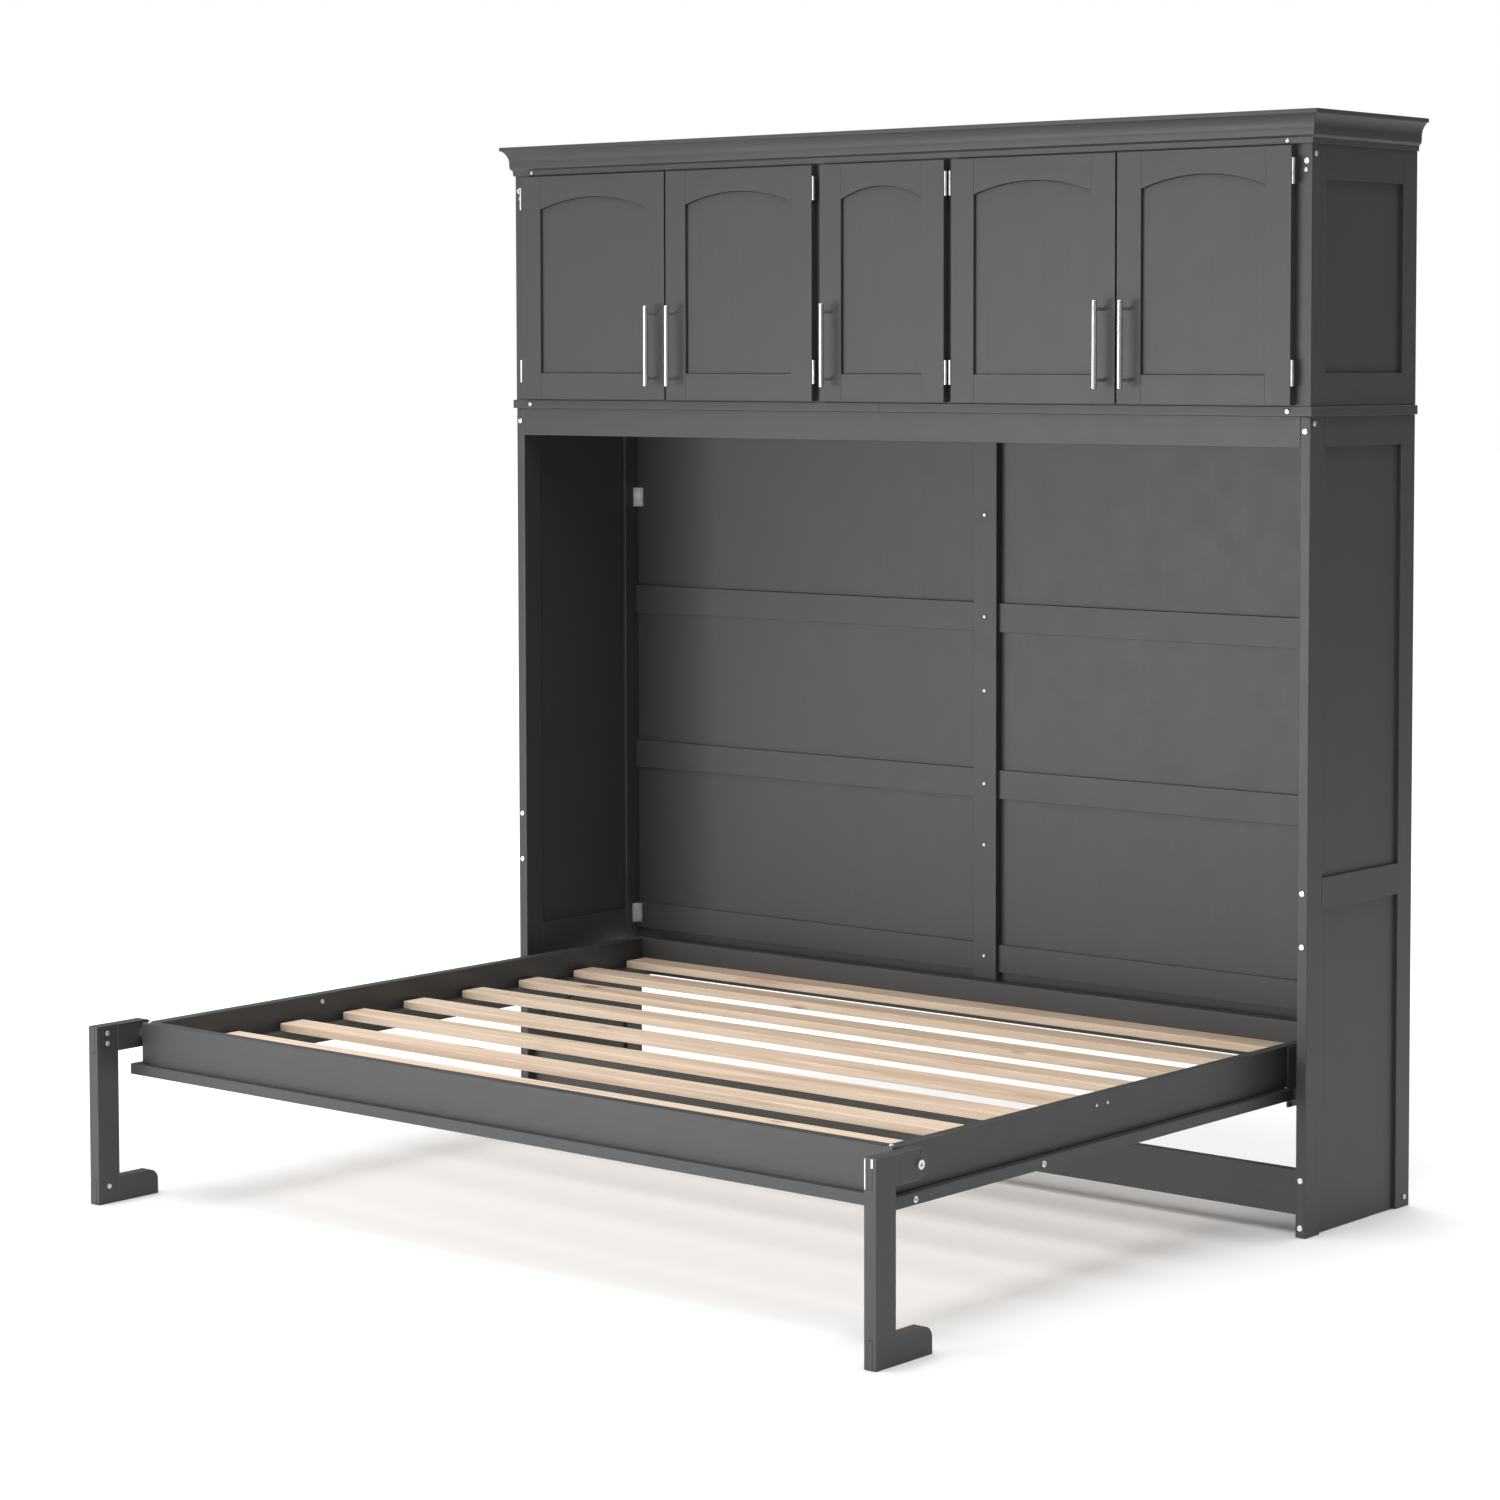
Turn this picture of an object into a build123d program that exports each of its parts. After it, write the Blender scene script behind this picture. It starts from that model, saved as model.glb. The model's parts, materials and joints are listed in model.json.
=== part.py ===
from build123d import *
import os

# Side-opening wall bed: a cabinet with five overhead doors and a slatted bed frame
# that swings up into the cabinet. Two C-shaped legs hang from the front of the bed.
# Millimetres, +Z up. The dimensions below are measured from the front plane of the
# cabinet stiles (Y = 0, wall at larger Y), the cabinet's centre (X = 0) and the floor.
# save() then moves everything so that the origin is the centre of the footprint.

# cabinet
WIDTH = 2277.0
DEPTH = 416.0
BOARD = 25.0
HALF = WIDTH / 2
INNER = HALF - BOARD
STILE_W = 56.0
PANEL_IN = INNER + 7.5
PANEL_OUT = PANEL_IN + 9.0
HEADER_Z = 1650.0
LEDGE_Z = 1715.0
LEDGE_T = 20.0
LEDGE_LIP = 6.0
UPPER_Z = LEDGE_Z + LEDGE_T
UPPER_TOP = 2276.0
SIDE_RAIL_Z = (686.0, 752.0)
SIDE_TOP_RAIL_Z = 1652.0
PIVOT_RAIL_Z = (200.0, 449.0)
STRETCHER_Z = (42.0, 136.0)
BACK_FACE = DEPTH - 9.0
BACK_BOTTOM = 365.0
BACK_RAIL_T = 9.0
FLANGE_W = 18.0
FLANGE_HOLE = 10.5
BACK_RAIL_ZS = ((399.0, 464.0), (807.0, 875.0), (1198.0, 1266.0))
POST_HALF = 33.0
POST_T = 19.0
FACE_T = 20.0
FACE_STILE_X = 1093.5
MULLION_HALF = 20.0
DIVIDER_XS = (-174.0, 204.5)
UPPER_BOARD_T = 18.0

# doors
DOOR_T = 19.0
DOOR_Z = (1738.0, 2272.0)
DOOR_STILE = 62.0
DOOR_SPRING_Z = 2193.0
DOOR_ARCH_RISE = 27.0
DOOR_PANEL_Y = (-12.0, -4.0)
# left edge, right edge, and the side of the hinge: -1 left, +1 right
DOORS = (
    (-1100.0, -637.0, -1),
    (-632.0, -186.0, 1),
    (-162.0, 194.0, 1),
    (215.0, 657.0, -1),
    (662.0, 1100.0, 1),
)
HANDLE_Z = 1864.0
HANDLE_LENGTH = 188.0
HANDLE_SPACING = 152.0
HANDLE_R = 6.0
HANDLE_POST_R = 4.5
HANDLE_STANDOFF = 32.0
HINGE_ZS = (1804.0, 2220.0)
HINGE_H = 54.0
HINGE_END = 14.0
KNUCKLE_R = 3.5
PIN_R = 1.5
PIN_OUT = 4.0
PIN_Y = -17.0
RUNNING = 0.05
LEAF_T = 1.2
LEAF_START = PIN_Y + KNUCKLE_R + 0.3

# bed frame
BED_HALF = 1050.0
BED_FRONT = -1265.0
BED_BACK = 345.0
RAIL_T = 25.0
RAIL_Z = (299.0, 388.0)
BATTEN_Z = (276.0, 299.0)
BATTEN_W = 38.0
BATTEN_OUT = 18.0
BATTEN_REAR = 60.0
BATTEN_RECESS = 1.6
CLEAT_W = 30.0
CLEAT_TOP = 322.0
SLAT_T = 18.0
SLAT_W = 68.0
SLAT_HALF = 1015.0
SLAT_COUNT = 8
SLAT_FIRST_Y = 284.0
SLAT_PITCH = 191.0

# bed pivot
PIVOT_Y = 80.0
PIVOT_Z = 278.0
PLATE_T = 6.0
PIVOT_PIN_R = 10.0
BUSH_R = 13.0
BOSS_R = 18.0
BOSS_X = 1102.0

# legs
LEG_IN = 1070.0
LEG_T = 28.0
LEG_FRONT = -1373.0
LEG_POST_D = 58.0
LEG_H = 390.0
ARM_H = 59.0
ARM_END = -1220.0
FOOT_H = 55.0
FOOT_END = -1208.0
TENON_T = 9.4
LEG_PIVOT = (-1246.0, 360.0)
LEG_BOLT_R = 6.0

# fasteners
HEAD_R = 6.5
HEAD_H = 3.0
SHANK_R = 3.0
SHANK_L = 18.0

CENTRE_Y = -(LEG_FRONT + DEPTH) / 2
SIDES = (-1, 1)

os.makedirs("parts", exist_ok=True)


def block(x0, x1, y0, y1, z0, z1):
    centre = Pos((x0 + x1) / 2, (y0 + y1) / 2, (z0 + z1) / 2)
    return centre * Box(abs(x1 - x0), abs(y1 - y0), abs(z1 - z0))


def pair(x0, x1, y0, y1, z0, z1):
    """A board on each side of the cabinet."""
    return [block(side * x0, side * x1, y0, y1, z0, z1) for side in SIDES]


def rod(axis, centre, radius, length):
    turn = {"x": Rot(0, 90, 0), "y": Rot(90, 0, 0), "z": Rot(0, 0, 0)}[axis]
    return Pos(*centre) * turn * Cylinder(radius, length)


def rod_x(x0, x1, y, z, radius):
    return rod("x", ((x0 + x1) / 2, y, z), radius, abs(x1 - x0))


def save(name, solids):
    placed = [Pos(0, CENTRE_Y, 0) * solid for solid in solids]
    shape = placed[0] if len(placed) == 1 else Compound(children=placed)
    export_step(shape, f"parts/{name}.step")


def bolt(point, direction, head_r=HEAD_R, shank=SHANK_L):
    """A button-head bolt on a surface point; direction is the way the head faces."""
    plane = Plane(origin=point, z_dir=direction)
    head = Pos(0, 0, HEAD_H / 2) * Cylinder(head_r, HEAD_H)
    head = chamfer(head.edges().group_by(Axis.Z)[-1], 1.0)
    socket = Pos(0, 0, HEAD_H) * extrude(RegularPolygon(head_r * 0.45, 6), -HEAD_H * 0.6)
    stem = Pos(0, 0, -shank / 2) * Cylinder(SHANK_R, shank)
    return plane * (head + stem - socket)


def bolts(points, direction, head_r=HEAD_R, shank=SHANK_L):
    return [bolt(point, direction, head_r, shank) for point in points]


def drilled(solids, fasteners):
    """Each board with the holes of the fasteners that reach into it."""
    result = []
    for solid in solids:
        box = solid.bounding_box()
        near = [f for f in fasteners if touches(box, f.bounding_box())]
        for fastener in near:
            solid = solid - fastener
        result.append(solid)
    return result


def touches(a, b):
    along_x = a.min.X < b.max.X and b.min.X < a.max.X
    along_y = a.min.Y < b.max.Y and b.min.Y < a.max.Y
    along_z = a.min.Z < b.max.Z and b.min.Z < a.max.Z
    return along_x and along_y and along_z


def both_sides(x, y, z):
    return [(side * x, y, z) for side in SIDES]


def cabinet_bolts():
    stile_x = HALF - BOARD / 2
    front = []
    for z in (21.0, 121.0, 612.0, 724.0, 1684.0):
        front += both_sides(stile_x, 0, z)
    front += both_sides(HALF - 12.0, 0, 2240.0)
    ledge = both_sides(1086.0, -LEDGE_LIP, LEDGE_Z + LEDGE_T / 2)
    made = bolts(front, (0, -1, 0)) + bolts(ledge, (0, -1, 0), 5.5)
    for side in SIDES:
        places = [(side * HALF, y, z) for y, z in ((14.0, 2255.0), (14.0, 1700.0), (394.0, 22.0))]
        made += bolts(places, (side, 0, 0), 5.5, 12.0)
    post_y = BACK_FACE - POST_T
    places = [(0, post_y, z) for z in (436.0, 698.0, 842.0, 1060.0, 1233.0, 1471.0)]
    made += bolts(places, (0, -1, 0), 4.0, 12.0)
    return made


def build_lower_cabinet(fasteners):
    save("lower_front_stiles", drilled(pair(INNER, HALF, 0, STILE_W, 0, LEDGE_Z), fasteners))
    back = DEPTH - STILE_W
    save("lower_back_stiles", drilled(pair(INNER, HALF, back, DEPTH, 0, LEDGE_Z), fasteners))
    rails = pair(INNER, HALF, STILE_W, back, SIDE_TOP_RAIL_Z, LEDGE_Z)
    rails += pair(PANEL_OUT, HALF, STILE_W, back, *SIDE_RAIL_Z)
    save("lower_side_rails", rails)
    save("lower_side_panels", pair(PANEL_IN, PANEL_OUT, STILE_W, back, 2, SIDE_TOP_RAIL_Z))
    save("pivot_rails", pair(INNER, PANEL_IN, STILE_W, back, *PIVOT_RAIL_Z))
    save("header_rail", [block(-INNER, INNER, 0, BOARD, HEADER_Z, LEDGE_Z)])
    save("floor_stretcher", [block(-INNER, INNER, BOARD, 2 * BOARD, *STRETCHER_Z)])
    save("back_panels", pair(0, INNER, BACK_FACE, DEPTH, BACK_BOTTOM, LEDGE_Z))
    post = block(-POST_HALF, POST_HALF, BACK_FACE - POST_T, BACK_FACE, 370, LEDGE_Z)
    save("back_centre_post", drilled([post], fasteners))
    rails = []
    for low, high in BACK_RAIL_ZS:
        rails += pair(POST_HALF, INNER, BACK_FACE - BACK_RAIL_T, BACK_FACE, low, high)
    save("back_rails", rails)
    lip = HALF + LEDGE_LIP
    save("ledge_boards", drilled(pair(0, lip, -LEDGE_LIP, DEPTH, LEDGE_Z, UPPER_Z), fasteners))


def corner_bracket(side, face, z0, z1):
    """An angle plate in a back corner, with two screw holes in each flange."""
    on_back = block(side * (INNER - FLANGE_W), side * INNER, face - 2, face, z0, z1)
    on_side = block(side * (INNER - 2), side * INNER, face - FLANGE_W, face - 2, z0, z1)
    bracket = on_back + on_side
    for z in (-14, 14):
        middle = (z0 + z1) / 2 + z
        bracket -= rod("y", (side * (INNER - FLANGE_HOLE), face - 2, middle), 2.2, 8)
        bracket -= rod("x", (side * (INNER - 2), face - FLANGE_HOLE, middle), 2.2, 8)
    return bracket


def build_corner_brackets():
    made = []
    for side in SIDES:
        made.append(corner_bracket(side, BACK_FACE - BACK_RAIL_T, 412, 460))
        made.append(corner_bracket(side, BACK_FACE, 1464, 1511))
    save("corner_brackets", made)


def build_upper_cabinet(fasteners):
    back = DEPTH - STILE_W
    frames = pair(INNER, HALF, FACE_T, STILE_W, UPPER_Z, UPPER_TOP)
    frames += pair(INNER, HALF, back, DEPTH, UPPER_Z, UPPER_TOP)
    frames += pair(INNER, HALF, STILE_W, back, UPPER_Z, 1804)
    frames += pair(INNER, HALF, STILE_W, back, 2204, UPPER_TOP)
    save("upper_side_frames", drilled(frames, fasteners))
    save("upper_side_panels", pair(PANEL_IN, PANEL_OUT, STILE_W, back, 1804, 2204))
    stiles = pair(FACE_STILE_X, HALF, 0, FACE_T, UPPER_Z, UPPER_TOP)
    for x in DIVIDER_XS:
        stiles.append(block(x - MULLION_HALF, x + MULLION_HALF, 0, FACE_T, UPPER_Z, UPPER_TOP))
    spans = (
        (-FACE_STILE_X, DIVIDER_XS[0] - MULLION_HALF),
        (DIVIDER_XS[0] + MULLION_HALF, DIVIDER_XS[1] - MULLION_HALF),
        (DIVIDER_XS[1] + MULLION_HALF, FACE_STILE_X),
    )
    rails = []
    for x0, x1 in spans:
        rails.append(block(x0, x1, 0, FACE_T, UPPER_Z, UPPER_Z + UPPER_BOARD_T))
        rails.append(block(x0, x1, 0, FACE_T, 2240, UPPER_TOP))
    save("face_frame", drilled(stiles, fasteners) + rails)
    low_top = UPPER_Z + UPPER_BOARD_T
    high_bottom = UPPER_TOP - UPPER_BOARD_T
    boards = [
        block(-INNER, INNER, FACE_T, BACK_FACE, UPPER_Z, low_top),
        block(-INNER, INNER, FACE_T, BACK_FACE, high_bottom, UPPER_TOP),
    ]
    save("upper_boards", boards)
    dividers = []
    for x in DIVIDER_XS:
        dividers.append(block(x - 9, x + 9, FACE_T, BACK_FACE, low_top, high_bottom))
    save("upper_dividers", dividers)
    save("upper_back_panel", [block(-INNER, INNER, BACK_FACE, DEPTH, UPPER_Z, UPPER_TOP)])


def crown_section():
    """Cross-section of the crown: outward distance from the carcass face, height."""
    outer = Line((0, 0), (4, 0)) + Line((4, 0), (5, 12)) + Line((5, 12), (10, 17))
    outer += Line((10, 17), (11, 27))
    outer += ThreePointArc((11, 27), (14.5, 47), (24, 60))
    outer += Line((24, 60), (28, 60)) + Line((28, 60), (28, 69))
    outer += Line((28, 69), (-20, 69)) + Line((-20, 69), (-20, 0)) + Line((-20, 0), (0, 0))
    return make_face(outer)


def build_crown():
    """Front and side mouldings, cut at 45 degrees where they meet."""
    reach = HALF + 60
    run = DEPTH + 60
    section = crown_section()
    front_plane = Plane(origin=(reach, 0, UPPER_TOP), x_dir=(0, -1, 0), z_dir=(-1, 0, 0))
    front = extrude(front_plane * section, 2 * reach)
    returns = []
    for side in SIDES:
        start_y = DEPTH if side > 0 else DEPTH - run
        origin = (side * HALF, start_y, UPPER_TOP)
        plane = Plane(origin=origin, x_dir=(side, 0, 0), z_dir=(0, -side, 0))
        returns.append(extrude(plane * section, run) - mitre_block(wedge_points(side, True)))
        front = front - mitre_block(wedge_points(side, False))
    save("crown_moulding", [front] + returns)


def wedge_points(side, below):
    """Corners of the half-square in front of, or beside, the 45-degree mitre line."""
    corner = (side * (HALF - 90), 90)
    tip = (side * (HALF + 90), -90)
    third = (side * (HALF - 90), -90) if below else (side * (HALF + 90), 90)
    return [corner, tip, third]


def mitre_block(points):
    outline = Polyline(*points, close=True)
    return Pos(0, 0, UPPER_TOP - 5) * extrude(make_face(outline), 90)


def hinge(x_edge, side, z):
    """Fixed leaf with pin and end barrels, and moving leaf with the middle barrel."""
    pin_x = x_edge + side * PIN_OUT
    low = z - HINGE_H / 2
    high = z + HINGE_H / 2
    mid_low = low + HINGE_END + 0.3
    mid_high = high - HINGE_END - 0.3
    web = (pin_x - LEAF_T / 2, pin_x + LEAF_T / 2)
    fixed = block(*web, LEAF_START, 0, low, high)
    fixed += block(pin_x, pin_x + side * 5.5, -LEAF_T, 0, low, high)
    for z0, z1 in ((low, low + HINGE_END), (high - HINGE_END, high)):
        fixed += rod("z", (pin_x, PIN_Y, (z0 + z1) / 2), KNUCKLE_R, HINGE_END)
        fixed += block(*web, PIN_Y, LEAF_START, z0, z1)
    fixed += rod("z", (pin_x, PIN_Y, z), PIN_R, HINGE_H)
    leaf = (x_edge, x_edge + side * LEAF_T)
    moving = block(*leaf, LEAF_START, -3, low, high)
    moving += block(*leaf, PIN_Y, LEAF_START, mid_low, mid_high)
    moving += rod("z", (pin_x, PIN_Y, z), KNUCKLE_R, mid_high - mid_low)
    moving -= rod("z", (pin_x, PIN_Y, z), PIN_R + RUNNING, HINGE_H)
    return fixed, moving


def door_frame(x0, x1):
    low, high = DOOR_Z
    inner = (x0 + DOOR_STILE, x1 - DOOR_STILE)
    half_span = (inner[1] - inner[0]) / 2
    radius = (half_span**2 + DOOR_ARCH_RISE**2) / (2 * DOOR_ARCH_RISE)
    centre = ((x0 + x1) / 2, -DOOR_T / 2, DOOR_SPRING_Z + DOOR_ARCH_RISE - radius)
    arch = rod("y", centre, radius, 3 * DOOR_T)
    rail_top = low + DOOR_STILE
    stiles = [
        block(x0, inner[0], -DOOR_T, 0, low, high),
        block(inner[1], x1, -DOOR_T, 0, low, high),
    ]
    bottom_rail = block(*inner, -DOOR_T, 0, low, rail_top)
    top_rail = block(*inner, -DOOR_T, 0, DOOR_SPRING_Z, high) - arch
    straight = block(*inner, *DOOR_PANEL_Y, rail_top, DOOR_SPRING_Z)
    crown = block(*inner, *DOOR_PANEL_Y, DOOR_SPRING_Z, high) & arch
    return stiles + [bottom_rail, top_rail], straight + crown


def door_handle(x):
    bar_y = -DOOR_T - HANDLE_STANDOFF
    bar = rod("z", (x, bar_y, HANDLE_Z), HANDLE_R, HANDLE_LENGTH)
    bar = chamfer(bar.edges(), 0.8)
    made = [bar]
    for end in SIDES:
        centre = (x, (bar_y - DOOR_T) / 2, HANDLE_Z + end * HANDLE_SPACING / 2)
        made.append(rod("y", centre, HANDLE_POST_R, HANDLE_STANDOFF) - bar)
    return made


def build_doors():
    fixed_leaves = []
    for number, (x0, x1, side) in enumerate(DOORS, start=1):
        frame, panel = door_frame(x0, x1)
        save(f"door_{number}_frame", frame)
        save(f"door_{number}_panel", [panel])
        hinge_edge = x1 if side > 0 else x0
        handle_x = x0 + DOOR_STILE / 2 if side > 0 else x1 - DOOR_STILE / 2
        save(f"door_{number}_handle", door_handle(handle_x))
        moving_leaves = []
        for z in HINGE_ZS:
            fixed, moving = hinge(hinge_edge, side, z)
            fixed_leaves.append(fixed)
            moving_leaves.append(moving)
        save(f"door_{number}_hinge_leaves", moving_leaves)
    save("cabinet_hinge_leaves", fixed_leaves)


def bed_bolts():
    batten_x = BED_HALF + BATTEN_OUT
    made = []
    for side in SIDES:
        outer = [(side * (batten_x - BATTEN_RECESS), y, 286.0) for y in (-1219.0, -821.0)]
        made += bolts(outer, (side, 0, 0))
        inner = [(side * (BED_HALF - RAIL_T), -759.0, 370.0)]
        made += bolts(inner, (-side, 0, 0), 5.5, 12.0)
    return made


def leg_pivot_bolts():
    """Shoulder bolt through each leg's arm into the rail and the end of the front rail."""
    y, z = LEG_PIVOT
    made = []
    for side in SIDES:
        shank = rod_x(side * 995, side * (LEG_IN + LEG_T + 0.3), y, z, LEG_BOLT_R)
        shoulder = rod_x(side * BED_HALF, side * (LEG_IN - 0.3), y, z, 11)
        head_x = LEG_IN + LEG_T + 0.3
        head = rod_x(side * head_x, side * (head_x + 5), y, z, 9)
        socket = rod_x(side * (head_x + 2), side * (head_x + 6), y, z, 4)
        made.append(shank + shoulder + head - socket)
    return made


def build_bed():
    pivots = leg_pivot_bolts()
    fasteners = bed_bolts()
    inner = BED_HALF - RAIL_T
    rails = pair(inner, BED_HALF, BED_FRONT, BED_BACK, *RAIL_Z)
    save("bed_side_rails", drilled(rails, pivots + fasteners))
    front = block(-inner, inner, BED_FRONT, BED_FRONT + RAIL_T, *RAIL_Z)
    save("bed_front_rail", drilled([front], pivots))
    save("bed_back_rail", [block(-inner, inner, BED_BACK - RAIL_T, BED_BACK, *RAIL_Z)])
    outer = BED_HALF + BATTEN_OUT
    nose = BED_FRONT - BATTEN_OUT
    battens = pair(outer - BATTEN_W, outer, nose, BATTEN_REAR, *BATTEN_Z)
    battens.append(block(BATTEN_W - outer, outer - BATTEN_W, nose, nose + BATTEN_W, *BATTEN_Z))
    save("underframe_battens", drilled(battens, fasteners))
    cleat_y = (BED_FRONT + RAIL_T, BED_BACK - RAIL_T)
    save("slat_cleats", pair(inner - CLEAT_W, inner, *cleat_y, RAIL_Z[0], CLEAT_TOP))
    slats = []
    for number in range(SLAT_COUNT):
        y0 = SLAT_FIRST_Y - number * SLAT_PITCH - SLAT_W / 2
        slats.append(block(-SLAT_HALF, SLAT_HALF, y0, y0 + SLAT_W, CLEAT_TOP, CLEAT_TOP + SLAT_T))
    save("bed_slats", slats)
    save("leg_pivot_bolts", pivots)
    save("bed_bolts", fasteners)


def build_bed_pivots():
    brackets = []
    bushes = []
    plates = []
    for side in SIDES:
        bracket = block(side * BED_HALF, side * (BED_HALF + PLATE_T), 62, 125, 258, 385)
        bracket += rod_x(side * (BED_HALF + PLATE_T), side * BOSS_X, PIVOT_Y, PIVOT_Z, BOSS_R)
        bracket -= rod_x(side * (BED_HALF - 1), side * (BOSS_X + 1), PIVOT_Y, PIVOT_Z, BUSH_R)
        brackets.append(bracket)
        bush = rod_x(side * (BED_HALF + PLATE_T), side * BOSS_X, PIVOT_Y, PIVOT_Z, BUSH_R)
        bore = rod_x(side * BED_HALF, side * (BOSS_X + 1), PIVOT_Y, PIVOT_Z, PIVOT_PIN_R + RUNNING)
        bushes.append(bush - bore)
        plate_in = INNER - PLATE_T
        plate = block(side * plate_in, side * INNER, 58, 170, 222, 334)
        pin = rod_x(side * (BED_HALF + PLATE_T + 2), side * plate_in, PIVOT_Y, PIVOT_Z, PIVOT_PIN_R)
        plates.append(plate + pin)
    save("bed_pivot_brackets", brackets)
    save("bed_pivot_bushes", bushes)
    save("cabinet_pivot_plates", plates)


def build_leg(side, name):
    x0, x1 = side * LEG_IN, side * (LEG_IN + LEG_T)
    tenon = (side * (LEG_IN + (LEG_T - TENON_T) / 2), side * (LEG_IN + (LEG_T + TENON_T) / 2))
    post_back = LEG_FRONT + LEG_POST_D
    post = block(x0, x1, LEG_FRONT, post_back, 0, LEG_H)
    arm_low = LEG_H - ARM_H
    arm = block(x0, x1, post_back, ARM_END, arm_low, LEG_H)
    arm = fillet(arm.edges().filter_by(Axis.X).group_by(Axis.Y)[-1], 20)
    arm_tenon = block(*tenon, LEG_FRONT, post_back, arm_low, LEG_H)
    foot = block(x0, x1, post_back, FOOT_END, 0, FOOT_H)
    foot = fillet(foot.edges().filter_by(Axis.X).group_by(Axis.Y)[-1].sort_by(Axis.Z)[-1], 24)
    foot_tenon = block(*tenon, LEG_FRONT, post_back, 0, FOOT_H)
    post = post - arm_tenon - foot_tenon
    y, z = LEG_PIVOT
    bore = rod_x(side * (LEG_IN - 1), side * (LEG_IN + LEG_T + 1), y, z, LEG_BOLT_R + RUNNING)
    inner_points = [(x0, -1345.0, z_bolt) for z_bolt in (373.0, 351.0, 38.0)]
    fasteners = bolts(inner_points, (-side, 0, 0), 5.5, 20.0)
    save(f"{name}_leg_post", drilled([post], fasteners))
    arms = drilled([arm + arm_tenon - bore, foot + foot_tenon], fasteners)
    save(f"{name}_leg_arm", [arms[0]])
    save(f"{name}_leg_foot", [arms[1]])
    save(f"{name}_leg_bolts", fasteners)


carcass_fasteners = cabinet_bolts()
save("cabinet_bolts", carcass_fasteners)
build_lower_cabinet(carcass_fasteners)
build_corner_brackets()
build_upper_cabinet(carcass_fasteners)
build_crown()
build_doors()
build_bed()
build_bed_pivots()
build_leg(-1, "left")
build_leg(1, "right")
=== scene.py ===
"""Looks of a side-opening wall bed with overhead doors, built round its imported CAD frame."""

import json
import math

import bmesh
import bpy
from mathutils import Matrix, Vector


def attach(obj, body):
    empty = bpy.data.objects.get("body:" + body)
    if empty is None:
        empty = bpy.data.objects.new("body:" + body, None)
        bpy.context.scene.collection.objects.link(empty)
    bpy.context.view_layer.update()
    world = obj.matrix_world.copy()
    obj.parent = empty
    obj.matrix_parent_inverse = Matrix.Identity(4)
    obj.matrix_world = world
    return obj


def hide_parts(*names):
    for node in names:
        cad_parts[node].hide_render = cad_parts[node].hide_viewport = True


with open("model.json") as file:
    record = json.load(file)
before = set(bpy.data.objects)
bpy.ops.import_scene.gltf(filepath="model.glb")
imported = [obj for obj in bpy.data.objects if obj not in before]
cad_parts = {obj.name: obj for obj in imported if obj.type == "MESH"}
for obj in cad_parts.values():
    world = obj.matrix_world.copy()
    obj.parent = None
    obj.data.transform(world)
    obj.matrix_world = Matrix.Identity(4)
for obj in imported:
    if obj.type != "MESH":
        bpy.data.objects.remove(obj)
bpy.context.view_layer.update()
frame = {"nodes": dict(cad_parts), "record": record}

MM = 0.001
CENTRE_Y = 0.4785  # the cabinet's front plane in the shared frame
RECORD = frame["record"]
BODY = {n: b for b, nodes in RECORD["behaviour"]["bodies"].items() for n in nodes}
SLOT = {part["node"]: part["material_slot"] for part in RECORD["subparts"]}
SHARP = math.radians(35)
SIDES = (-1, 1)

# Places on the CAD frame, in millimetres measured as at() does.
INNER = 1113.5
BACK_FACE = 407.0
LEG_FRONT = -1373.0
# left edge, right edge and hinge side of each door
DOORS = ((-1100, -637, -1), (-632, -186, 1), (-162, 194, 1), (215, 657, -1), (662, 1100, 1))
HINGE_ZS = (1804, 2220)
HINGE_PIN_OUT = 4.0
HINGE_PIN_Y = -17.0
KNUCKLE_REACH = 4.2


def at(x, y, z):
    """A point from millimetres measured from the cabinet's front plane."""
    return Vector((x * MM, y * MM + CENTRE_Y, z * MM))


# ---------------------------------------------------------------- materials


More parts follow.
